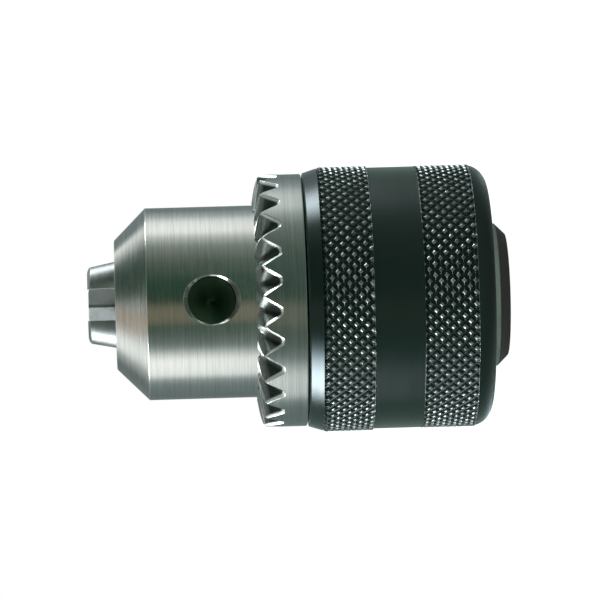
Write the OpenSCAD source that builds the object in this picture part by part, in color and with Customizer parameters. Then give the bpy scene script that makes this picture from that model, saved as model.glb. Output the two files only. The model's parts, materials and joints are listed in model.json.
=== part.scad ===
// Keyed three-jaw drill chuck. Millimetres. The spindle axis is Z, the rear face
// lies on Z = 0 and the jaws point up, so the chuck stands on its rear face.

/* [Grip sleeve] */
// Length of the grip sleeve
sleeve_l = 23.9; // [23:0.1:29]
// Wall of the sleeve around the flange
sleeve_wall = 1.2; // [1:0.05:1.4]
// Thickness of the sleeve's rear wall
rear_wall = 1.55; // [1:0.05:2]
// Height of the sleeve above the rear face
hub_back = 2.35; // [1.5:0.05:3]
// Length of the taper at the front of the sleeve
taper_l = 2.3; // [1.5:0.1:3]
// How much the taper narrows the radius
taper_in = 0.6; // [0.4:0.05:1]
// Radius of the sleeve's rear corner
rear_corner = 2.8; // [1:0.1:2.8]
// Width of the knurled band behind the taper
front_knurl_w = 6; // [4:0.1:7]
// Width of the knurled band near the rear
rear_knurl_w = 5.95; // [4:0.05:6.3]
// Distance from the rear knurl to the sleeve's rear end
rear_knurl_back = 2.8; // [2.8:0.05:4]
// How far the front knurl's crests stand above the plain sleeve
front_knurl_rise = 0.2; // [0.05:0.01:0.25]
// How far the rear knurl's crests stand above the plain sleeve
rear_knurl_rise = 0.06; // [0.05:0.01:0.25]

/* [Body] */
// Diameter of the hub behind the sleeve
hub_d = 18.6; // [17:0.1:20]
// Width of the chamfer at the rear end of the hub
hub_chamfer = 1.35; // [0.5:0.05:1.5]
// Distance from the sleeve's front edge back to the flange's front face
flange_in = 6.55; // [6.4:0.05:7]
// Diameter of the core that the split nut runs around
core_d = 19.6; // [18.6:0.1:20]
// Diameter of the nose
nose_d = 25; // [24.4:0.1:26]
// Length of the nose
nose_l = 20.95; // [20:0.05:24]
// Width of the chamfer around the nose face
nose_chamfer = 4.1; // [2:0.1:4.6]
// Diameter of the bore that a drill shank passes into
shank_bore_d = 10.4; // [10.2:0.1:11]

/* [Key holes] */
// Diameter of the key pilot holes
key_d = 6.1; // [4:0.1:6.3]
// Distance from a key hole's centre to the nose face
key_from_nose = 12.4; // [11.6:0.1:13]
// Depth of a key hole's straight part
key_depth = 4.6; // [3:0.1:4.8]
// Width of the chamfer at a key hole's mouth
key_chamfer = 0.25; // [0.2:0.05:0.6]

/* [Spindle mount] */
// Minor diameter of the spindle thread
spindle_d = 8.5; // [8:0.1:10]
// Depth of the spindle thread
spindle_depth = 14; // [12:0.5:14.5]
// Width of the chamfer at the thread's mouth
spindle_chamfer = 0.7; // [0.3:0.05:1]
// Diameter of the hole for the spindle's retaining screw
screw_d = 6.5; // [5:0.1:7]
// Thickness of the wall that the retaining screw's hole passes through
screw_wall = 2.6; // [2:0.1:4]

/* [Jaws] */
// Diameter of a jaw
jaw_d = 5.5; // [5:0.1:5.6]
// Angle between a jaw and the spindle axis
jaw_angle = 13; // [12.8:0.1:13.3]
// Distance from the spindle axis to a jaw's axis, at its tip, at rest
jaw_axis_r = 2.4; // [2.3:0.05:2.5]
// How far the jaw tips stand out of the nose at rest
jaw_proud = 3.6; // [2:0.1:4]
// Distance from the spindle axis to a jaw's gripping edge at rest
grip_r = 2.47; // [2.2:0.01:2.8]
// Width of the flat along the gripping edge
grip_land = 0.35; // [0.2:0.05:0.5]
// Distance from the spindle axis to the gripping edge at full opening
grip_max_r = 5; // [4:0.1:5]
// Radius around the outer edge of a jaw's tip
tip_round = 1.1; // [0.4:0.1:1.2]

/* [Thread] */
// Travel of a jaw for one turn of the sleeve
pitch = 1.6; // [1.4:0.05:1.8]
// Depth of the jaws' thread grooves
groove_depth = 0.75; // [0.6:0.05:0.85]
// Width of the nut's thread ridge at its crest
crest_w = 0.46; // [0.4:0.02:0.5]
// Width of the nut's thread ridge at its root
root_w = 0.8; // [0.7:0.02:0.86]
// Clearance all round between a ridge and a groove
thread_gap = 0.12; // [0.1:0.01:0.14]
// Height of the split nut
nut_h = 6; // [5:0.1:6.4]

/* [Bearing] */
// Radial width of the bearing, between the jaws and the sleeve
bearing_w = 2.45; // [2.4:0.05:4]
// Number of bearing balls
ball_count = 16; // [8:1:24]
// Diameter of a bearing ball
ball_d = 1.8; // [1.6:0.05:1.85]
// Thickness of a bearing race
race_t = 1.2; // [1:0.05:1.3]
// Depth of the track that the balls run in
track_depth = 0.12; // [0.08:0.01:0.2]
// Thickness of the ball cage
cage_t = 0.8; // [0.5:0.05:1]

/* [Gear ring] */
// Number of gear teeth
tooth_count = 26; // [22:1:28]
// Height of the ring's plain rim in front of the sleeve
rim_h = 3.3; // [2.7:0.05:3.5]
// Height of a tooth at the outer diameter
tooth_h = 2.65; // [2.2:0.05:2.9]
// How far the tooth tips rise toward the nose
tip_rise = 0.7; // [0.5:0.05:1]
// Half angle between the two sides of a tooth gap
gap_angle = 40; // [30:1:41]
// Radius at the bottom of a tooth gap
gap_round = 0.6; // [0.3:0.05:0.65]
// Wall of the ring around the split nut
skirt_wall = 1.5; // [1.2:0.05:1.8]
// Width of the dark relief between the ring and the sleeve
relief_w = 0.3; // [0.25:0.05:0.6]

/* [Fits] */
// Radial running clearance of the jaws and the sleeve
run_gap = 0.06; // [0.03:0.01:0.09]
// Clearance between parts that pass each other freely
free_gap = 0.2; // [0.15:0.01:0.25]
// Clearance between a ball and its tracks
ball_gap = 0.02; // [0.01:0.01:0.03]
// Gap between the two halves of the nut
split_gap = 0.06; // [0.04:0.01:0.1]

/* [Hidden] */
$fn = 96;

steel = [0.66, 0.67, 0.66];
dark_steel = [0.42, 0.44, 0.43];
black_oxide = [0.12, 0.14, 0.14];
brass = [0.72, 0.58, 0.3];

// past: how far a cutting shape runs beyond the face that it cuts.
past = 0.5;
jaw_first = -150;
jaw_step = 120;
key_first = -90;
tooth_first = -89.5;
// Half angle of a jaw's gripping wedge, angle of a key hole's drill point, and how much
// steeper the cone around the jaw tips is than a jaw.
wedge_angle = 60;
drill_angle = 31;
tip_cone_extra = 5;
// What is left of a tooth gap's depth at the ring's bore, and the sides of its round.
inner_gap_h = 0.15;
gap_steps = 6;

// Stack of heights, from the rear.
sleeve_top = hub_back + sleeve_l;
flange_z = hub_back + rear_wall + free_gap;
flange_top = sleeve_top - flange_in;
track_lift = race_t - track_depth + ball_gap;
ball_z = flange_top + track_lift + ball_d / 2;
front_race_z = flange_top + 2 * track_lift + ball_d - race_t;
nut_z = front_race_z + race_t;
nut_top = nut_z + nut_h;
nose_z = nut_top + free_gap + run_gap;
body_l = nose_z + nose_l;
jaw_tip = body_l + jaw_proud;
key_z = body_l - key_from_nose;
ring_face = sleeve_top + rim_h + tooth_h;

// A jaw's axis lies in a plane through the spindle axis and leans inward.
function axis_r(z) = jaw_axis_r + (jaw_tip - z) * tan(jaw_angle);
function jaw_outer_r(z) = axis_r(z) + jaw_d / 2 / cos(jaw_angle);
open_travel = (grip_max_r - grip_r) / sin(jaw_angle);
jaw_rear = flange_z + free_gap + jaw_d / 2 * sin(jaw_angle) + open_travel * cos(jaw_angle);

// Diameters, from the jaws outward. The bearing's rings clear the jaws where they lie.
rear_race_bore_d = 2 * (jaw_outer_r(flange_top) + free_gap);
cage_bore_d = 2 * (jaw_outer_r(flange_top + race_t) + free_gap);
race_d = cage_bore_d + 2 * bearing_w;
ball_circle_r = (cage_bore_d + race_d) / 4;
sleeve_bore_d = race_d + 2 * free_gap;
sleeve_d = sleeve_bore_d + 2 * sleeve_wall;
flange_d = sleeve_bore_d - 2 * run_gap;
jaw_clear_r = flange_d / 2 - free_gap;
nut_d = sleeve_bore_d - 2 * skirt_wall;
ring_d = sleeve_d - 2 * taper_in;
ring_bore_d = nose_d + free_gap;

// Thread: distances out from a jaw's axis, at right angles to it.
groove_floor = jaw_d / 2 - groove_depth;
ridge_crest = groove_floor + thread_gap;
ridge_root = jaw_d / 2 + thread_gap;
pitch_z = pitch * cos(jaw_angle);
thread_z = nut_z + nut_h / 2 - ridge_crest * sin(jaw_angle);
lead_angle = atan(pitch_z / (2 * PI * (axis_r(thread_z) + ridge_crest)));
steps_per_turn = 60;
ridge_turns = nut_h / pitch_z + 2;

// A point beside a jaw's axis: z on the axis, q outward from it, t along it.
function beside(z, q, t) = [
  axis_r(z) + q * cos(jaw_angle) - t * sin(jaw_angle),
  z + q * sin(jaw_angle) + t * cos(jaw_angle)
];

// Half width of the ridge at distance q from the jaw's axis.
function ridge_half(q) =
  (crest_w + (root_w - crest_w) * (q - ridge_crest) / (ridge_root - ridge_crest)) / 2;

// The four corners of the thread's section, from q_in to q_out, grown by gap.
function thread_section(z, q_in, q_out, gap) = [
  beside(z, q_in, -ridge_half(q_in) - gap),
  beside(z, q_out, -ridge_half(q_out) - gap),
  beside(z, q_out, ridge_half(q_out) + gap),
  beside(z, q_in, ridge_half(q_in) + gap)
];

// Turns its children to a jaw's place, counted from 1.
module at_jaw(i) {
  rotate([0, 0, jaw_first + jaw_step * (i - 1)]) children();
}

// A rod of diameter d along a jaw's axis, between two heights on that axis.
module on_jaw_axis(d, z_low, z_high) {
  translate([axis_r(z_low), 0, z_low])
    rotate([0, -jaw_angle, 0])
      cylinder(d = d, h = (z_high - z_low) / cos(jaw_angle));
}

// Moves its children along a jaw's axis, toward the tip.
module along_jaw(distance) {
  translate([-distance * sin(jaw_angle), 0, distance * cos(jaw_angle)]) children();
}

// A key hole: straight wall, drill point at the bottom and chamfered mouth.
module key_hole() {
  hole_r = key_d / 2;
  floor_x = nose_d / 2 - key_depth;
  mouth_x = sqrt(nose_d * nose_d / 4 - hole_r * hole_r) - key_chamfer;
  flare = nose_d / 2 - mouth_x + past;
  translate([0, 0, key_z]) rotate([0, 90, 0]) rotate_extrude() polygon([
    [0, floor_x - hole_r * tan(drill_angle)],
    [hole_r, floor_x],
    [hole_r, mouth_x],
    [hole_r + flare, mouth_x + flare],
    [0, mouth_x + flare]
  ]);
}

module chuck_body() {
  color(steel) difference() {
    rotate_extrude() polygon([
      [spindle_d / 2 + spindle_chamfer, 0],
      [hub_d / 2 - hub_chamfer, 0],
      [hub_d / 2, hub_chamfer],
      [hub_d / 2, flange_z],
      [flange_d / 2 - free_gap, flange_z],
      [flange_d / 2, flange_z + free_gap],
      [flange_d / 2, flange_top],
      [core_d / 2, flange_top],
      [core_d / 2, nose_z],
      [nose_d / 2, nose_z],
      [nose_d / 2, body_l - nose_chamfer],
      [nose_d / 2 - nose_chamfer, body_l],
      [shank_bore_d / 2, body_l],
      [shank_bore_d / 2, spindle_depth + screw_wall],
      [screw_d / 2, spindle_depth + screw_wall],
      [screw_d / 2, spindle_depth],
      [spindle_d / 2, spindle_depth],
      [spindle_d / 2, spindle_chamfer]
    ]);
    for (i = [1:3]) {
      at_jaw(i)
        on_jaw_axis(jaw_d + 2 * run_gap, flange_z + jaw_d / 2 * sin(jaw_angle) + free_gap / 2,
          jaw_tip);
      rotate([0, 0, key_first + jaw_step * (i - 1)]) key_hole();
    }
  }
}

// The flats that meet at the gripping edge: everything behind them is kept.
module grip_wedge() {
  reach = jaw_d * 4;
  apex = grip_r - grip_land / 2 / tan(wedge_angle);
  intersection() {
    linear_extrude(jaw_tip) polygon([
      [apex, 0],
      [apex + reach, -reach * tan(wedge_angle)],
      [apex + reach, reach * tan(wedge_angle)]
    ]);
    translate([grip_r, -reach * 2, 0]) cube([reach, reach * 4, jaw_tip]);
  }
}

// A steep cone with a rounded rim, which rounds the outer edge of a jaw's tip.
module tip_cone() {
  side = jaw_angle + tip_cone_extra;
  rim_r = jaw_d / 2 / cos(jaw_angle);
  arc_r = rim_r - tip_round * (1 - tan(side)) / cos(side);
  translate([jaw_axis_r, 0, 0]) rotate_extrude() {
    polygon([
      [0, 0],
      [arc_r + tip_round * cos(side) + (jaw_tip - tip_round) * tan(side), 0],
      [arc_r + tip_round * cos(side), jaw_tip - tip_round + tip_round * sin(side)],
      [arc_r, jaw_tip - tip_round],
      [arc_r, jaw_tip],
      [0, jaw_tip]
    ]);
    intersection() {
      translate([arc_r, jaw_tip - tip_round]) circle(r = tip_round);
      translate([0, jaw_tip - tip_round]) square([rim_r * 2, tip_round]);
    }
  }
}

// One groove of a jaw's thread, at the middle of the nut, for the jaw at angle a.
module thread_groove(a) {
  z = thread_z + pitch_z * a / 360;
  lift = z + groove_floor * sin(jaw_angle);
  translate([0, 0, lift]) rotate([lead_angle, 0, 0]) translate([0, 0, -lift])
    rotate_extrude()
      polygon(thread_section(z, groove_floor, jaw_d / 2 + past, thread_gap));
}

module jaw(i) {
  a = jaw_first + jaw_step * (i - 1);
  groove_z = thread_z + pitch_z * a / 360 + ridge_crest * sin(jaw_angle);
  groove_half = root_w / 2 + thread_gap;
  last_down = floor((groove_z + groove_half - jaw_rear) / pitch_z);
  open_top = nut_top + open_travel * cos(jaw_angle);
  last_up = floor((open_top + groove_half - groove_z) / pitch_z);
  color(steel) at_jaw(i) difference() {
    intersection() {
      on_jaw_axis(jaw_d, jaw_rear, jaw_tip + jaw_d);
      grip_wedge();
      tip_cone();
      along_jaw(open_travel) translate([0, 0, -body_l]) cylinder(r = jaw_clear_r, h = 3 * body_l);
    }
    for (k = [-last_down:last_up]) along_jaw(k * pitch) thread_groove(a);
  }
}

// The nut's thread ridge: one section swept round and up a cone.
module thread_ridge() {
  count = ceil(ridge_turns * steps_per_turn);
  z_start = thread_z - pitch_z * round(ridge_turns / 2);
  points = [
    for (n = [0:count])
      for (c = thread_section(z_start + pitch_z * n / steps_per_turn,
          ridge_crest, ridge_root + past, 0))
        let (a = 360 * n / steps_per_turn)
          [c[0] * cos(a), c[0] * sin(a), c[1]]
  ];
  sides = [
    for (n = [0:count - 1])
      for (s = [0:3])
        [4 * n + s, 4 * n + (s + 1) % 4, 4 * n + 4 + (s + 1) % 4, 4 * n + 4 + s]
  ];
  polyhedron(points, concat(sides, [[3, 2, 1, 0], [for (s = [0:3]) 4 * count + s]]));
}

module nut_half(turn) {
  color(dark_steel) intersection() {
    union() {
      rotate_extrude() polygon([
        beside(nut_z - ridge_root * sin(jaw_angle), ridge_root, 0),
        [nut_d / 2, nut_z],
        [nut_d / 2, nut_top],
        beside(nut_top - ridge_root * sin(jaw_angle), ridge_root, 0)
      ]);
      intersection() {
        thread_ridge();
        translate([0, 0, nut_z]) cylinder(d = nut_d - past, h = nut_h);
      }
    }
    rotate([0, 0, turn])
      translate([split_gap / 2, -nut_d, nut_z - past]) cube([nut_d, 2 * nut_d, nut_h + 2 * past]);
  }
}

// One tooth gap: a rounded V that runs up and inward and nearly dies out at the bore.
module tooth_gap() {
  face_w = (ring_d - ring_bore_d) / 2;
  floor_angle = atan((tooth_h + tip_rise - inner_gap_h) / face_w);
  top_y = tooth_h * 2;
  top_x = (gap_round + (top_y - gap_round) * sin(gap_angle)) / cos(gap_angle);
  bottom = [
    for (n = [0:gap_steps])
      let (a = 180 + gap_angle + (180 - 2 * gap_angle) * n / gap_steps)
        [gap_round * cos(a), gap_round + gap_round * sin(a)]
  ];
  translate([ring_bore_d / 2, 0, ring_face + tip_rise - inner_gap_h])
    rotate([0, floor_angle, 0])
      rotate([90, 0, 90])
        translate([0, 0, -face_w])
          linear_extrude(face_w * 3) polygon(concat(bottom, [[top_x, top_y], [-top_x, top_y]]));
}

module gear_ring() {
  color(steel) difference() {
    rotate_extrude() polygon([
      [ring_bore_d / 2, nut_top],
      [ring_bore_d / 2, ring_face + tip_rise],
      [ring_d / 2, ring_face],
      [ring_d / 2, sleeve_top + relief_w],
      [sleeve_bore_d / 2, sleeve_top + relief_w],
      [sleeve_bore_d / 2, nut_z + free_gap],
      [nut_d / 2, nut_z + free_gap],
      [nut_d / 2, nut_top]
    ]);
    for (n = [0:tooth_count - 1])
      rotate([0, 0, tooth_first + 360 / tooth_count * (n + 0.5)]) tooth_gap();
  }
}

module grip_sleeve() {
  outer_r = sleeve_d / 2;
  front_r = outer_r + front_knurl_rise;
  rear_r = outer_r + rear_knurl_rise;
  bore_r = sleeve_bore_d / 2;
  rear_z = hub_back + rear_knurl_back;
  front_z = sleeve_top - taper_l;
  color(black_oxide) rotate_extrude() difference() {
    polygon([
      [hub_d / 2 + free_gap, hub_back],
      [outer_r, hub_back],
      [outer_r, rear_z],
      [rear_r, rear_z + rear_knurl_rise],
      [rear_r, rear_z + rear_knurl_w - rear_knurl_rise],
      [outer_r, rear_z + rear_knurl_w],
      [outer_r, front_z - front_knurl_w],
      [front_r, front_z - front_knurl_w + front_knurl_rise],
      [front_r, front_z],
      [outer_r - taper_in + run_gap, sleeve_top],
      [bore_r, sleeve_top],
      [bore_r, hub_back + rear_wall],
      [hub_d / 2 + free_gap, hub_back + rear_wall]
    ]);
    difference() {
      translate([outer_r - rear_corner, hub_back - past])
        square([rear_corner + past, rear_corner + past]);
      translate([outer_r - rear_corner, hub_back + rear_corner]) circle(r = rear_corner);
    }
  }
}

// A bearing race with its ball track on the top or the bottom face.
module race(z, bore_d, track_z) {
  color(steel) rotate_extrude() difference() {
    translate([bore_d / 2, z]) square([(race_d - bore_d) / 2, race_t]);
    translate([ball_circle_r, track_z]) circle(r = ball_d / 2 + ball_gap);
  }
}

module rear_race() {
  race(flange_top, rear_race_bore_d, ball_z);
}

module front_race() {
  race(front_race_z, cage_bore_d, ball_z);
}

module ball_cage() {
  color(brass) difference() {
    translate([0, 0, ball_z - cage_t / 2]) difference() {
      cylinder(d = race_d, h = cage_t);
      translate([0, 0, -past]) cylinder(d = cage_bore_d, h = cage_t + 2 * past);
    }
    for (i = [1:ball_count])
      at_ball(i) translate([0, 0, -ball_d]) cylinder(d = ball_d + 2 * run_gap, h = 2 * ball_d);
  }
}

// Moves its children to the centre of a ball, counted from 1.
module at_ball(i) {
  rotate([0, 0, 360 / ball_count * (i - 1)]) translate([ball_circle_r, 0, ball_z]) children();
}

module ball(i) {
  color(steel) at_ball(i) sphere(d = ball_d);
}

chuck_body();
jaw(1);  // jaw_1
jaw(2);  // jaw_2
jaw(3);  // jaw_3
nut_half(0);  // nut_half_a
nut_half(180);  // nut_half_b
gear_ring();
grip_sleeve();
front_race();
rear_race();
ball_cage();
for (i = [1:ball_count]) ball(i);
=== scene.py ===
import json
import math

import bpy
import numpy as np
from mathutils import Matrix, Vector


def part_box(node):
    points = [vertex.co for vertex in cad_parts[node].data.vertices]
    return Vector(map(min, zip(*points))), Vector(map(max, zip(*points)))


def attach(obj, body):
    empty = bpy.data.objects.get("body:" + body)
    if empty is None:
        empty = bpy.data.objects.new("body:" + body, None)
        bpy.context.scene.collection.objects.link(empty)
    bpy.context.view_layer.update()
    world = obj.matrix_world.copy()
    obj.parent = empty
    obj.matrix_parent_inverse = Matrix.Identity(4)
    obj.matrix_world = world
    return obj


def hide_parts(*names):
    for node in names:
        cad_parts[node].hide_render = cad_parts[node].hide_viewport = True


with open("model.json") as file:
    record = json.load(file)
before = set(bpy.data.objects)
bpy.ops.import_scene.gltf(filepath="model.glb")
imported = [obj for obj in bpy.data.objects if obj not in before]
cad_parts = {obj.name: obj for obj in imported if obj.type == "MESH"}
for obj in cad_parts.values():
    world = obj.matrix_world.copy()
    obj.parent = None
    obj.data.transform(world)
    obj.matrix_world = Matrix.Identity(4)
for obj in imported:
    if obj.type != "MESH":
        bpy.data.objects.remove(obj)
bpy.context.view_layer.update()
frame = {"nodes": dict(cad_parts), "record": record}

MM = 0.001

# ---------------------------------------------------------------- shape helpers


def revolve(name, sections):
    """A closed ring mesh. sections[k, p] is point p, as (radius, height), of the section
    at the k-th of evenly spaced angles, starting at +X."""
    columns, points = sections.shape[:2]
    angle = 2 * math.pi * np.arange(columns) / columns
    radius, height = sections[..., 0], sections[..., 1]
    xyz = np.stack([radius * np.cos(angle)[:, None], radius * np.sin(angle)[:, None], height], -1)
    k, p = np.meshgrid(np.arange(columns), np.arange(points), indexing="ij")
    k_next, p_next = (k + 1) % columns, (p + 1) % points
    quads = np.stack([k * points + p, k_next * points + p,
                      k_next * points + p_next, k * points + p_next], -1)
    mesh = bpy.data.meshes.new(name)
    mesh.from_pydata(xyz.reshape(-1, 3).tolist(), [], quads.reshape(-1, 4).tolist())
    mesh.update()
    piece = bpy.data.objects.new(name, mesh)
    bpy.context.scene.collection.objects.link(piece)
    return piece


def shade(piece, angle):
    """Smooth shading, with edges sharper than angle (degrees) kept crisp."""
    mesh = piece.data
    mesh.shade_smooth()
    mesh.set_sharp_from_angle(angle=math.radians(angle))


def arc(centre, radius, start, end, steps):
    """Points on an arc, as (radius, height), from start to end in degrees."""
    turns = [math.radians(start + (end - start) * n / steps) for n in range(steps + 1)]
    return [(centre[0] + radius * math.cos(t), centre[1] + radius * math.sin(t)) for t in turns]


# ---------------------------------------------------------------- grip sleeve

SLEEVE_LOW, SLEEVE_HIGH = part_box("grip_sleeve")
RING_LOW, RING_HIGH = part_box("gear_ring")
BODY_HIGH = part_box("chuck_body")[1]
NUT_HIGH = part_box("nut_half_a")[1]
RACE_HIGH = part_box("front_race")[1]

# Sizes that part.scad has as well.
NOSE_R, NOSE_CHAMFER = 12.5 * MM, 4.1 * MM
FREE_GAP = 0.2 * MM
SKIRT_WALL = 1.5 * MM
SKIRT_R = RACE_HIGH.x + FREE_GAP
NUT_R = SKIRT_R - SKIRT_WALL
TAPER_L = 2.3 * MM
TAPER_DROP = 0.54 * MM
REAR_WALL = 1.55 * MM
REAR_CORNER = 2.8 * MM
HUB_HOLE_R = 9.5 * MM
FRONT_KNURL_RISE, REAR_KNURL_RISE = 0.2 * MM, 0.06 * MM
FRONT_KNURL_W = 6.0 * MM

# The knurled bands. The rear one is a little longer here, at both ends, than the raised
# band in part.scad, and the front one runs out on the taper, as in the photograph.
REAR_KNURL_START, REAR_KNURL_END = 2.35 * MM, 9.2 * MM
KNURL_RUNOUT = 0.5 * MM
KNURL_STARTS = 72
KNURL_PITCH = 1.454 * MM
KNURL_STEPS = 12
KNURL_DEPTH = 0.40 * MM
KNURL_FADE, KNURL_CLEAR = 0.1 * MM, 0.15 * MM     # fade of the cut at a band's ends, bare rows there
KNURL_CREST = 0.34      # width of a diamond's flat crest, as a share of its own width
CREST_R = SLEEVE_HIGH.x
PLAIN_R = CREST_R - FRONT_KNURL_RISE
REAR_CREST_R = PLAIN_R + REAR_KNURL_RISE
PLAIN_LOW = SLEEVE_LOW.z + REAR_KNURL_END
PLAIN_HIGH = SLEEVE_HIGH.z - TAPER_L - FRONT_KNURL_W
PLAIN_MIDDLE, PLAIN_HALF = (PLAIN_LOW + PLAIN_HIGH) / 2, (PLAIN_HIGH - PLAIN_LOW) / 2

# Corners, rows of the mesh, and the angle (degrees) above which an edge is left sharp.
SLEEVE_EDGE, FRONT_LIP = 0.12 * MM, 0.05 * MM
ROW_STEP = 0.02 * MM
CORNER_START, CORNER_END, CORNER_STEPS = -90, -10, 12
PLAIN_ROWS = 9
SLEEVE_SHARP, RING_SHARP, CAD_SHARP = 28, 32, 30


def knurl_depth(angle, height, low, high):
    """How far the diamond knurl is cut below its crests, as a share of its depth."""
    u = angle * KNURL_STARTS / (2 * math.pi) + height / KNURL_PITCH
    v = angle * KNURL_STARTS / (2 * math.pi) - height / KNURL_PITCH
    across = np.maximum(abs(2 * (u % 1) - 1), abs(2 * (v % 1) - 1))
    cut = np.clip((across - KNURL_CREST) / (1 - KNURL_CREST), 0, 1)
    edge = np.minimum(height - low, high - height) / KNURL_FADE
    return cut * np.clip(edge, 0, 1)


def knurl_rows(low, high):
    """Heights of the mesh rows across a knurled band, in step with the diamonds."""
    step = KNURL_PITCH / KNURL_STEPS
    inner = np.arange(math.ceil(low / step + 1), math.floor(high / step)) * step
    inner = inner[(inner > low + KNURL_CLEAR) & (inner < high - KNURL_CLEAR)]
    return [low, low + KNURL_FADE, *inner, high - KNURL_FADE, high]


def make_sleeve():
    """The sleeve, with real knurl grooves: from the rear hole's edge round the rear corner,
    along the outside to the taper, and back through the bore."""
    low, high = SLEEVE_LOW.z, SLEEVE_HIGH.z
    taper = high - TAPER_L
    front_knurl = (PLAIN_HIGH, taper + KNURL_RUNOUT)
    rear_knurl = (low + REAR_KNURL_START, PLAIN_LOW)
    front_r = PLAIN_R - TAPER_DROP
    taper_slope = (CREST_R - front_r) / TAPER_L
    corner_centre = (PLAIN_R - REAR_CORNER, low + REAR_CORNER)
    fixed_low = [(HUB_HOLE_R + SLEEVE_EDGE, low)]
    fixed_low += arc(corner_centre, REAR_CORNER, CORNER_START, CORNER_END, CORNER_STEPS)
    plain_z = np.linspace(rear_knurl[1] + ROW_STEP, front_knurl[0] - ROW_STEP, PLAIN_ROWS)
    middle = [(PLAIN_R, z) for z in plain_z]
    fixed_high = [
        (CREST_R - (KNURL_RUNOUT + ROW_STEP) * taper_slope, taper + KNURL_RUNOUT + ROW_STEP),
        (front_r + FRONT_LIP, high - SLEEVE_EDGE),
        (front_r - SLEEVE_EDGE, high),
        (SKIRT_R + SLEEVE_EDGE, high),
        (SKIRT_R, high - SLEEVE_EDGE),
        (SKIRT_R, low + REAR_WALL),
        (HUB_HOLE_R, low + REAR_WALL),
        (HUB_HOLE_R, low + SLEEVE_EDGE),
    ]
    count = KNURL_STARTS * KNURL_STEPS
    angle = 2 * math.pi * np.arange(count) / count
    columns = []

    def fixed(points):
        columns.extend(np.broadcast_to(point, (count, 2)) for point in points)

    def knurled(crest_r, band):
        for z in knurl_rows(*band):
            cut = knurl_depth(angle, z, *band)
            crest = crest_r - max(0.0, z - taper) * taper_slope
            columns.append(np.stack([crest - KNURL_DEPTH * cut, np.full(count, z)], -1))

    fixed(fixed_low)
    knurled(REAR_CREST_R, rear_knurl)
    fixed(middle)
    knurled(CREST_R, front_knurl)
    fixed(fixed_high)
    sleeve = revolve("grip_sleeve_knurled", np.stack(columns, 1))
    shade(sleeve, SLEEVE_SHARP)
    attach(sleeve, "sleeve")
    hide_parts("grip_sleeve")
    return sleeve


# ---------------------------------------------------------------- gear ring

TEETH = 26
TOOTH_FIRST = math.radians(-89.5)
TOOTH_STEPS = 40
RING_R = RING_HIGH.x
RING_BORE = 12.6 * MM
TIP_RISE = 0.7 * MM
TOOTH_H = 2.65 * MM
GAP_ANGLE = math.radians(40)
GAP_ROUND = 0.6 * MM
INNER_GAP = 0.15 * MM
TOOTH_EDGE = 0.32 * MM
RIM_EDGE = 0.08 * MM
RELIEF_W = 0.24 * MM      # part.scad has 0.3 mm
TIP_BLEND = 1.0 * MM      # how softly a tooth's tip turns into its flanks
WALL_MIN = 1.2 * MM       # least height of the outer wall, at the bottom of a gap
WALL_ROWS, FACE_ROWS = 5, 22


def tooth_top(angle, radius):
    """Height of the toothed face at an angle from the middle of the nearest gap."""
    tip_in = RING_HIGH.z
    face = RING_R - RING_BORE
    tip = tip_in - TIP_RISE * (radius - RING_BORE) / face
    floor_slope = (TOOTH_H + TIP_RISE - INNER_GAP) / face
    side = abs(radius * np.sin(angle))
    floor = tip_in - INNER_GAP - (radius * np.cos(angle) - RING_BORE) * floor_slope
    turn_x, turn_y = GAP_ROUND * math.cos(GAP_ANGLE), GAP_ROUND * (1 - math.sin(GAP_ANGLE))
    bottom = GAP_ROUND - np.sqrt(np.maximum(GAP_ROUND ** 2 - side ** 2, 0))
    flank = turn_y + (side - turn_x) / math.tan(GAP_ANGLE)
    gap = floor + np.where(side < turn_x, bottom, flank) * math.hypot(1, floor_slope)
    mix = np.clip(0.5 + 0.5 * (gap - tip) / TIP_BLEND, 0, 1)
    return gap + (tip - gap) * mix - TIP_BLEND * mix * (1 - mix)


def make_gear_ring():
    """The ring, with rounded teeth: from the skirt round the nut, out to the rim, up its wall,
    in over the teeth and back down the bore."""
    low, nut_top = RING_LOW.z, NUT_HIGH.z
    rim_low = SLEEVE_HIGH.z + RELIEF_W
    chamfer_r = RING_R - TOOTH_EDGE
    count = TEETH * TOOTH_STEPS
    angle = 2 * math.pi * np.arange(count) / count
    pitch = 2 * math.pi / TEETH
    off = (angle - TOOTH_FIRST) % pitch - pitch / 2
    columns = []

    def fixed(radius, height):
        columns.append(np.broadcast_to((radius, height), (count, 2)))

    def varied(radius, height):
        columns.append(np.stack([np.full(count, radius), height], -1))

    fixed(NUT_R, low)
    fixed(SKIRT_R, low)
    fixed(SKIRT_R, rim_low)
    fixed(RING_R - RIM_EDGE, rim_low)
    fixed(RING_R, rim_low + RIM_EDGE)
    edge_top = tooth_top(off, chamfer_r)
    spacing = chamfer_r * 2 * math.pi / count
    rise = (np.roll(edge_top, -1) - np.roll(edge_top, 1)) / (2 * spacing)
    wall_top = np.maximum(edge_top - TOOTH_EDGE * np.hypot(1, rise), rim_low + WALL_MIN)
    for share in np.linspace(1 / WALL_ROWS, 1, WALL_ROWS):
        varied(RING_R, rim_low + RIM_EDGE + (wall_top - rim_low - RIM_EDGE) * share)
    for radius in np.linspace(chamfer_r, RING_BORE + TOOTH_EDGE, FACE_ROWS):
        varied(radius, tooth_top(off, radius))
    varied(RING_BORE, tooth_top(off, RING_BORE) - TOOTH_EDGE)
    fixed(RING_BORE, nut_top)
    fixed(NUT_R, nut_top)
    ring = revolve("gear_ring_toothed", np.stack(columns, 1))
    shade(ring, RING_SHARP)
    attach(ring, "sleeve")
    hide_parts("gear_ring")
    return ring


# ---------------------------------------------------------------- materials


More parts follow.
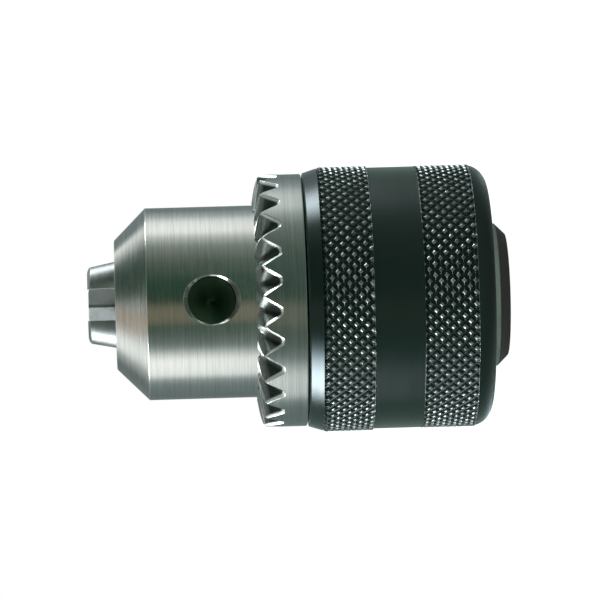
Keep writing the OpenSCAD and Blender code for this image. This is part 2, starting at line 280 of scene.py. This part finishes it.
class Nodes:
    """A short way to build a node tree: each call adds a node and links its inputs."""

    def __init__(self, tree):
        self.tree = tree

    def add(self, kind, inputs=None, **settings):
        node = self.tree.nodes.new(kind)
        for name, value in settings.items():
            setattr(node, name, value)
        for name, value in (inputs or {}).items():
            if isinstance(value, bpy.types.NodeSocket):
                self.tree.links.new(value, node.inputs[name])
            else:
                node.inputs[name].default_value = value
        return node

    def math(self, operation, a, b=0.0):
        return self.add("ShaderNodeMath", {0: a, 1: b}, operation=operation).outputs[0]

    def noise(self, vector, scale, detail=2.0, rough=0.5):
        inputs = {"Vector": vector, "Scale": scale, "Detail": detail, "Roughness": rough}
        return self.add("ShaderNodeTexNoise", inputs).outputs["Fac"]

    def remap(self, value, low, high, to_low, to_high):
        inputs = {"Value": value, "From Min": low, "From Max": high,
                  "To Min": to_low, "To Max": to_high}
        return self.add("ShaderNodeMapRange", inputs).outputs["Result"]

    def mix(self, factor, a, b):
        node = self.add("ShaderNodeMix", {0: factor, 6: a, 7: b}, data_type="RGBA")
        return node.outputs[2]


TO_MM = 1000.0
ROUND_AXIS = 0.35       # how fast the turned texture changes round the axis
CLOUD_SCALE = 260.0     # broad uneven tone, per metre
GRAIN_SCALE = 4200.0    # small dark spots, per metre
EDGE_RADIUS = 0.12 * MM
LINE_DEPTH = 0.01 * MM


def cylindrical(n, place):
    """Distance from the spindle axis, height, and angle round the axis."""
    x, y, z = n.add("ShaderNodeSeparateXYZ", {0: place}).outputs
    square = n.math("ADD", n.math("MULTIPLY", x, x), n.math("MULTIPLY", y, y))
    return n.math("SQRT", square), z, n.math("ARCTAN2", y, x)


def turned_coordinates(n):
    """Radius and height, in millimetres, with a slow change round the axis: texture that
    follows them gives lines that run round the axis, as a lathe or grinder leaves them."""
    place = n.add("ShaderNodeTexCoord").outputs["Object"]
    radius, z, angle = cylindrical(n, place)
    turned = n.add("ShaderNodeCombineXYZ", {
        0: n.math("MULTIPLY", radius, TO_MM),
        1: n.math("MULTIPLY", z, TO_MM),
        2: n.math("MULTIPLY", angle, ROUND_AXIS),
    }).outputs[0]
    return place, turned


def steel(name, colour, rough, lines, bump, anisotropic=0.0, tint=(0.5, 0.5, 0.5, 1),
          spots=0.0, contrast=0.12, metallic=1.0, gloss_tint=(1, 1, 1, 1), sheen=0.0,
          dark=None, dark_colour=(0.02, 0.034, 0.024, 1), polish=None,
          wear_and_highlight=None, wear_and_highlight_colour=(0.8, 0.8, 0.79, 1), wear_and_highlight_rough=0.0):
    """Turned or ground steel: fine lines round the axis, uneven tone and softened edges.
    Optional masks, where given, paint shade into hollows, grooves and gaps, make turned
    faces smoother, and lighten edges and crests: real wear on the knurl's crests, and a
    painted highlight on bare steel edges. Where metallic is below 1, only the lightened parts are
    metal."""
    material = bpy.data.materials.new(name)
    material.use_nodes = True
    tree = material.node_tree
    tree.nodes.clear()
    n = Nodes(tree)
    place, turned = turned_coordinates(n)
    fine = n.noise(turned, lines, 3.0, 0.6)
    broad = n.noise(turned, lines * 0.35, 2.0)
    cloud = n.noise(place, CLOUD_SCALE, 4.0, 0.6)
    tone = n.remap(n.math("ADD", fine, broad), 0.7, 1.3, 1.0 - contrast, 1.0 + contrast)
    tone = n.math("MULTIPLY", tone, n.remap(cloud, 0.3, 0.7, 0.96, 1.04))
    if spots:
        grain = n.noise(place, GRAIN_SCALE, 2.0, 0.7)
        tone = n.math("MULTIPLY", tone, n.remap(grain, 0.62, 0.74, 1.0, 1.0 - spots))
    shade_of = n.mix(n.remap(cloud, 0.35, 0.75, 0.0, 0.25), colour, tint)
    base = n.add("ShaderNodeVectorMath", {0: shade_of, 3: tone}, operation="SCALE").outputs[0]
    roughness = n.remap(n.math("ADD", fine, cloud), 0.6, 1.4, rough * 0.8, rough * 1.25)
    metal = metallic
    if polish:
        roughness = n.math("MULTIPLY", roughness, n.remap(polish(n, place), 0.0, 1.0, 1.0, 0.9))
    # Painted shade: the mask darkens hollows, grooves and gaps towards a dark colour and roughens
    # them.
    if dark:
        hidden = dark(n, place)
        base = n.mix(hidden, base, dark_colour)
        roughness = n.math("ADD", roughness, n.math("MULTIPLY", hidden, 0.3))
    # Lighter edges and crests: real wear on the knurl's crests, and a painted highlight on bare steel
    # edges.
    if wear_and_highlight:
        wear_and_highlight_mask = wear_and_highlight(n, place)
        base = n.mix(wear_and_highlight_mask, base, wear_and_highlight_colour)
        roughness = n.math("ADD", roughness, n.math("MULTIPLY", wear_and_highlight_mask, wear_and_highlight_rough))
        if metallic < 1:
            metal = wear_and_highlight_mask
    soft_edge = n.add("ShaderNodeBevel", {"Radius": EDGE_RADIUS}, samples=6).outputs[0]
    relief = n.add("ShaderNodeBump", {"Height": fine, "Strength": bump, "Distance": LINE_DEPTH,
                                      "Normal": soft_edge}).outputs[0]
    surface = n.add("ShaderNodeBsdfPrincipled", {
        "Base Color": base, "Metallic": metal, "Roughness": roughness, "Normal": relief,
        "Anisotropic": anisotropic, "IOR": 1.7, "Specular Tint": gloss_tint,
        "Sheen Weight": sheen, "Sheen Roughness": 0.3, "Sheen Tint": (0.8, 0.97, 1.0, 1)})
    if anisotropic:
        tangent = n.add("ShaderNodeTangent", direction_type="RADIAL", axis="Z").outputs[0]
        tree.links.new(tangent, surface.inputs["Tangent"])
    out = n.add("ShaderNodeOutputMaterial")
    tree.links.new(surface.outputs[0], out.inputs[0])
    return material


def near(n, value, target, reach):
    """1 where value is at target, falling to 0 at reach from it."""
    distance = n.math("ABSOLUTE", n.math("SUBTRACT", value, target))
    return n.remap(distance, reach * 0.4, reach, 1.0, 0.0)


# Depth below the nose's own surface at which the painted shade starts and is full, and how much of
# it.
SHADE_START, SHADE_FULL, SHADE_SHARE = 0.45 * MM, 0.75 * MM, 0.85
# Heights above the sleeve's rear end: the knurl's masks start at the first, and pass from
# the rear band's crests to the front band's between the other two.
MASK_LOW, REAR_BAND_TOP, FRONT_BAND_LOW = 2.3 * MM, 10 * MM, 12 * MM
# Heights above the sleeve's front end, within which the ring's relief and its teeth lie.
RELIEF_TOP, TEETH_LOW = RELIEF_W + 0.01 * MM, 1.5 * MM


def nose_hollow_shade(n, place):
    """Painted shade: the key holes, the jaw bores and the shank bore are painted a dark green inside.
    """
    radius, z, _ = cylindrical(n, place)
    below_side = n.math("SUBTRACT", NOSE_R, radius)
    chamfer_sum = BODY_HIGH.z + NOSE_R - NOSE_CHAMFER      # radius plus height, on the chamfer
    below_chamfer = n.math("SUBTRACT", chamfer_sum, n.math("ADD", radius, z))
    below_face = n.math("SUBTRACT", BODY_HIGH.z, z)
    depth = n.math("MINIMUM", below_side, n.math("MINIMUM", below_chamfer, below_face))
    in_nose = n.math("GREATER_THAN", z, NUT_HIGH.z)
    hollow_shade = n.remap(depth, SHADE_START, SHADE_FULL, 0.0, SHADE_SHARE)
    return n.math("MULTIPLY", in_nose, hollow_shade)


def nose_edge_highlight(n, place):
    """Painted highlight: the edge between the nose and its chamfer, and the rim of the nose face, are
    painted lighter.
    """
    radius, z, _ = cylindrical(n, place)
    shoulder = n.math("MULTIPLY", near(n, z, BODY_HIGH.z - NOSE_CHAMFER, 0.16 * MM),
                      n.math("GREATER_THAN", radius, NOSE_R - 0.15 * MM))
    rim = n.math("MULTIPLY", near(n, radius, NOSE_R - NOSE_CHAMFER, 0.12 * MM),
                 n.math("GREATER_THAN", z, BODY_HIGH.z - 0.15 * MM))
    return n.math("MAXIMUM", shoulder, rim)


def knurl_band(n, z):
    """1 from just below the rear band up to the taper."""
    above = n.math("GREATER_THAN", z, SLEEVE_LOW.z + MASK_LOW)
    below = n.math("LESS_THAN", z, SLEEVE_HIGH.z - TAPER_L)
    return n.math("MULTIPLY", above, below)


def below_crests(n, radius, z):
    """Depth below the crests of the knurled band at this height."""
    crest_r = n.remap(z, SLEEVE_LOW.z + REAR_BAND_TOP, SLEEVE_LOW.z + FRONT_BAND_LOW,
                      REAR_CREST_R, CREST_R)
    return n.math("SUBTRACT", crest_r, radius)


def knurl_groove_shade(n, place):
    """Painted shade: the knurl's grooves are painted darker the deeper they are."""
    radius, z, _ = cylindrical(n, place)
    depth = n.remap(below_crests(n, radius, z), 0.22 * MM, 0.38 * MM, 0.0, 0.7)
    return n.math("MULTIPLY", depth, knurl_band(n, z))


def knurl_crests(n, place):
    """Real wear on the knurl's crests, more on some than on others."""
    radius, z, _ = cylindrical(n, place)
    crest = n.remap(below_crests(n, radius, z), 0.01 * MM, 0.14 * MM, 1.0, 0.0)
    from_middle = n.math("ABSOLUTE", n.math("SUBTRACT", z, PLAIN_MIDDLE))
    crest = n.math("MULTIPLY", crest, n.math("GREATER_THAN", from_middle, PLAIN_HALF))
    uneven = n.remap(n.noise(place, 900.0, 2.0), 0.35, 0.65, 0.2, 1.0)
    return n.math("MULTIPLY", n.math("MULTIPLY", crest, uneven), knurl_band(n, z))


def taper_polish(n, place):
    """The taper at the sleeve's front is turned smoother than the rest."""
    _, z, _ = cylindrical(n, place)
    return n.math("GREATER_THAN", z, SLEEVE_HIGH.z - TAPER_L)


def tooth_gap_shade(n, place):
    """Painted shade: the tooth gaps and the relief behind the rim are painted darker."""
    radius, z, _ = cylindrical(n, place)
    slope = TIP_RISE / (RING_R - RING_BORE)
    tip = n.math("SUBTRACT", RING_HIGH.z + RING_BORE * slope, n.math("MULTIPLY", radius, slope))
    depth = n.remap(n.math("SUBTRACT", tip, z), 0.25 * MM, 1.0 * MM, 0.0, 0.92)
    gap = n.math("MULTIPLY", depth, n.remap(radius, RING_R - TOOTH_EDGE - 0.1 * MM,
                                            RING_R - TOOTH_EDGE, 1.0, 0.0))
    relief = n.math("MULTIPLY", n.math("LESS_THAN", radius, RING_R - 0.25 * MM),
                    n.math("LESS_THAN", z, SLEEVE_HIGH.z + RELIEF_TOP))
    return n.math("MAXIMUM", gap, relief)


def tooth_edge_highlight(n, place):
    """Painted highlight: the narrow chamfer round each tooth is painted near-white and made rougher.
    """
    radius, z, _ = cylindrical(n, place)
    edge = near(n, radius, RING_R - TOOTH_EDGE / 2, TOOTH_EDGE * 0.5)
    return n.math("MULTIPLY", edge, n.math("GREATER_THAN", z, SLEEVE_HIGH.z + TEETH_LOW))


def dress(piece, material):
    """Gives a piece one material in place of what it has."""
    piece.data.materials.clear()
    piece.data.materials.append(material)


def make_materials():
    return {
        # body_steel: painted shade, a dark green, in the nose's holes and bores, and a painted
        # highlight along the nose's edges.
        "body_steel": steel("ground_steel", (0.60, 0.61, 0.59, 1), 0.17, 8.0, 0.25, 0.4,
                            contrast=0.11, dark=nose_hollow_shade, dark_colour=(0.045, 0.125, 0.05, 1),
                            wear_and_highlight=nose_edge_highlight),
        "jaw_steel": steel("jaw_ground_steel", (0.35, 0.37, 0.365, 1), 0.42, 2.5, 0.3),
        # gear_steel: painted shade in the tooth gaps and the relief, and a painted highlight,
        # near-white, on the tooth chamfers.
        "gear_steel": steel("gear_satin_steel", (0.46, 0.49, 0.48, 1), 0.18, 4.0, 0.3, 0.2, sheen=0.3,
                            spots=0.15, dark=tooth_gap_shade, wear_and_highlight=tooth_edge_highlight,
                            wear_and_highlight_colour=(0.95, 0.96, 0.95, 1), wear_and_highlight_rough=0.2),
        # black_oxide: painted shade in the knurl's grooves, and real wear to bare steel on its
        # crests.
        "black_oxide": steel("black_oxide_steel", (0.0, 0.009, 0.004, 1), 0.23, 3.0, 0.15,
                             tint=(0.0, 0.009, 0.005, 1), spots=0.1, sheen=0.7, metallic=0.0,
                             gloss_tint=(0.82, 0.95, 1.0, 1), dark=knurl_groove_shade,
                             wear_and_highlight=knurl_crests, polish=taper_polish,
                             wear_and_highlight_colour=(0.55, 0.58, 0.57, 1)),
        "nut_steel": steel("oiled_steel", (0.35, 0.35, 0.34, 1), 0.4, 3.0, 0.2),
        "bearing_steel": steel("bearing_steel", (0.62, 0.63, 0.64, 1), 0.15, 4.0, 0.1),
        "cage_brass": steel("cage_brass", (0.70, 0.52, 0.24, 1), 0.35, 4.0, 0.2),
    }


def dress_cad(materials):
    """Every CAD node gets the material of its slot in the record."""
    slots = {entry["node"]: entry["material_slot"] for entry in frame["record"]["subparts"]}
    for name, node in frame["nodes"].items():
        dress(node, materials[slots[name]])
        shade(node, CAD_SHARP)


# ---------------------------------------------------------------- camera, light and floor


def make_camera():
    """A long lens nearly square to the spindle axis, which lies across the picture, nose to the
    left. Its distance, its three turns and its lens were fitted to the photograph."""
    distance = 548 * MM
    yaw, turn, roll = math.radians(1.9), math.radians(1.5), math.radians(1.62)
    target = Vector((0, 0, 26.89 * MM))
    back = Vector((-math.sin(turn) * math.cos(yaw), -math.cos(turn) * math.cos(yaw), math.sin(yaw)))
    rear = Vector((0, 0, -1))
    rear = (rear - back * rear.dot(back)).normalized()
    side = back.cross(rear)
    right = rear * math.cos(roll) - side * math.sin(roll)
    up = rear * math.sin(roll) + side * math.cos(roll)
    camera = bpy.data.objects.new("camera", bpy.data.cameras.new("camera"))
    camera.data.sensor_width = 36
    camera.data.lens = 252
    camera.data.clip_start, camera.data.clip_end = 0.01, 10
    turned = Matrix((right, up, back)).transposed().to_4x4()
    camera.matrix_world = Matrix.Translation(target + back * distance) @ turned
    bpy.context.scene.collection.objects.link(camera)
    bpy.context.scene.camera = camera


# Light round the spindle axis: angle from the front (-Y) toward +X, in degrees, and colour.
# The three tables were fitted to how light the metal is in the photograph.
SURROUND = [
    (-180, (0.20, 0.25, 0.25)),
    (-150, (0.16, 0.20, 0.20)),
    (-118, (0.22, 0.28, 0.28)),
    (-106, (0.35, 0.42, 0.42)),
    (-96, (1.30, 1.34, 1.32)),
    (-74, (1.50, 1.52, 1.47)),
    (-63, (0.75, 0.82, 0.80)),
    (-56, (0.25, 0.29, 0.28)),
    (-46, (0.14, 0.18, 0.16)),
    (-30, (0.05, 0.10, 0.07)),
    (-22, (0.22, 0.20, 0.145)),
    (-8, (0.24, 0.22, 0.15)),
    (2, (0.02, 0.055, 0.03)),
    (24, (0.025, 0.065, 0.04)),
    (50, (0.11, 0.145, 0.115)),
    (72, (0.30, 0.34, 0.31)),
    (85, (0.75, 0.80, 0.76)),
    (94, (1.40, 1.42, 1.37)),
    (112, (1.20, 1.23, 1.22)),
    (126, (0.50, 0.57, 0.56)),
    (146, (0.20, 0.25, 0.25)),
    (180, (0.20, 0.25, 0.25)),
]

# The same for the light that comes from in front of the nose, seen in its chamfer.
NOSE_SIDE = [
    (-180, (0.30, 0.33, 0.32)),
    (-150, (0.16, 0.21, 0.20)),
    (-137, (0.45, 0.50, 0.48)),
    (-129, (1.35, 1.40, 1.37)),
    (-119, (1.35, 1.40, 1.37)),
    (-112, (0.55, 0.55, 0.52)),
    (-108, (0.10, 0.08, 0.06)),
    (-102, (0.50, 0.32, 0.16)),
    (-92, (0.55, 0.35, 0.18)),
    (-87, (0.05, 0.06, 0.04)),
    (-70, (0.03, 0.05, 0.04)),
    (-45, (0.26, 0.29, 0.275)),
    (45, (0.26, 0.29, 0.275)),
    (90, (0.03, 0.06, 0.03)),
    (112, (0.02, 0.06, 0.045)),
    (124, (0.10, 0.14, 0.12)),
    (131, (0.60, 0.65, 0.63)),
    (141, (1.30, 1.33, 1.30)),
    (152, (0.50, 0.55, 0.54)),
    (180, (0.30, 0.33, 0.32)),
]

# Two bright lamps in front of and beside the nose: angle and colour, which is strength too.
LAMP_POWER = 15.0
LAMPS = [
    (-180, (0, 0, 0)),
    (-112, (0, 0, 0)),
    (-101, (0.4, 0.43, 0.44)),
    (-90, (0.94, 1.0, 1.02)),
    (-76, (0.94, 1.0, 1.02)),
    (-62, (0.5, 0.54, 0.56)),
    (-50, (0.08, 0.1, 0.105)),
    (-38, (0, 0, 0)),
    (79, (0, 0, 0)),
    (96, (0.56, 0.6, 0.61)),
    (114, (0.56, 0.6, 0.61)),
    (130, (0, 0, 0)),
    (180, (0, 0, 0)),
]


# Heights in the world, as the sine of the elevation: where the light in front of the nose
# takes over, where the lamps fade in and out, and where the rear's green-grey fades in.
NOSE_FADE = (0.53, 0.62)
LAMP_IN, LAMP_OUT = (0.28, 0.35), (0.56, 0.64)
REAR_FADE, REAR_SHARE, REAR_COLOUR = (-0.15, -0.45), 0.4, (0.14, 0.25, 0.20, 1)


def ramp(n, share, stops):
    """A colour ramp over the angles from -180 to 180 degrees."""
    node = n.add("ShaderNodeValToRGB", {0: share})
    elements = node.color_ramp.elements
    while len(elements) < len(stops):
        elements.new(0.5)
    for element, (degrees, colour) in zip(elements, stops):
        element.position = (degrees + 180) / 360
        element.color = (*colour, 1)
    return node.outputs[0]


def make_world():
    """White for the camera only. What lights the chuck, and what its metal reflects, is the
    three tables above: a long soft box on each side of the spindle axis, with a darker room
    and a warm strip between them, and two lamps."""
    world = bpy.data.worlds.new("world")
    world.use_nodes = True
    tree = world.node_tree
    tree.nodes.clear()
    n = Nodes(tree)
    place = n.add("ShaderNodeTexCoord").outputs["Generated"]
    x, y, z = n.add("ShaderNodeSeparateXYZ", {0: place}).outputs
    angle = n.math("ARCTAN2", x, n.math("MULTIPLY", y, -1.0))
    share = n.remap(angle, -math.pi, math.pi, 0.0, 1.0)
    nose_side = n.remap(z, *NOSE_FADE, 0.0, 1.0)
    room = n.mix(nose_side, ramp(n, share, SURROUND), ramp(n, share, NOSE_SIDE))
    room = n.mix(n.remap(z, *REAR_FADE, 0.0, REAR_SHARE), room, REAR_COLOUR)
    band = n.math("MULTIPLY", n.remap(z, *LAMP_IN, 0.0, LAMP_POWER),
                  n.remap(z, *LAMP_OUT, 1.0, 0.0))
    lamps = n.add("ShaderNodeVectorMath", {0: ramp(n, share, LAMPS), 3: band}, operation="SCALE")
    both = {0: room, 1: lamps.outputs[0]}
    lit = n.add("ShaderNodeVectorMath", both, operation="ADD").outputs[0]
    path = n.add("ShaderNodeLightPath")
    seen = n.mix(path.outputs["Is Camera Ray"], lit, (1, 1, 1, 1))
    background = n.add("ShaderNodeBackground", {"Color": seen, "Strength": 1.0})
    out = n.add("ShaderNodeOutputWorld")
    tree.links.new(background.outputs[0], out.inputs[0])
    bpy.context.scene.world = world


# The floor's own colour is a darkish grey-green, fitted to what the metal reflects in the
# photograph, and not a pale one. FLOOR_GLOW is how much it glows for everything but the camera.
FLOOR_COLOUR = (0.17, 0.22, 0.19, 1)
FLOOR_GLOW = 0.035
FLOOR_RADIUS = 0.6


def make_floor():
    """A floor that looks white to the camera, where it glows at full strength, and that
    lights the metal as a darkish grey-green with a faint glow."""
    bpy.ops.mesh.primitive_circle_add(vertices=96, radius=FLOOR_RADIUS, fill_type="NGON")
    floor = bpy.context.object
    floor.name = "floor"
    material = bpy.data.materials.new("pale_floor")
    material.use_nodes = True
    tree = material.node_tree
    surface = tree.nodes["Principled BSDF"]
    surface.inputs["Base Color"].default_value = FLOOR_COLOUR
    surface.inputs["Roughness"].default_value = 0.9
    surface.inputs["Specular IOR Level"].default_value = 0.0
    surface.inputs["Emission Color"].default_value = (1, 1, 1, 1)
    n = Nodes(tree)
    camera_ray = n.add("ShaderNodeLightPath").outputs["Is Camera Ray"]
    glow = n.remap(camera_ray, 0.0, 1.0, FLOOR_GLOW, 1.0)
    tree.links.new(glow, surface.inputs["Emission Strength"])
    floor.data.materials.append(material)


make_camera()
materials = make_materials()
dress_cad(materials)
dress(make_sleeve(), materials["black_oxide"])
dress(make_gear_ring(), materials["gear_steel"])
make_world()
make_floor()
bpy.context.scene.view_settings.view_transform = "Standard"
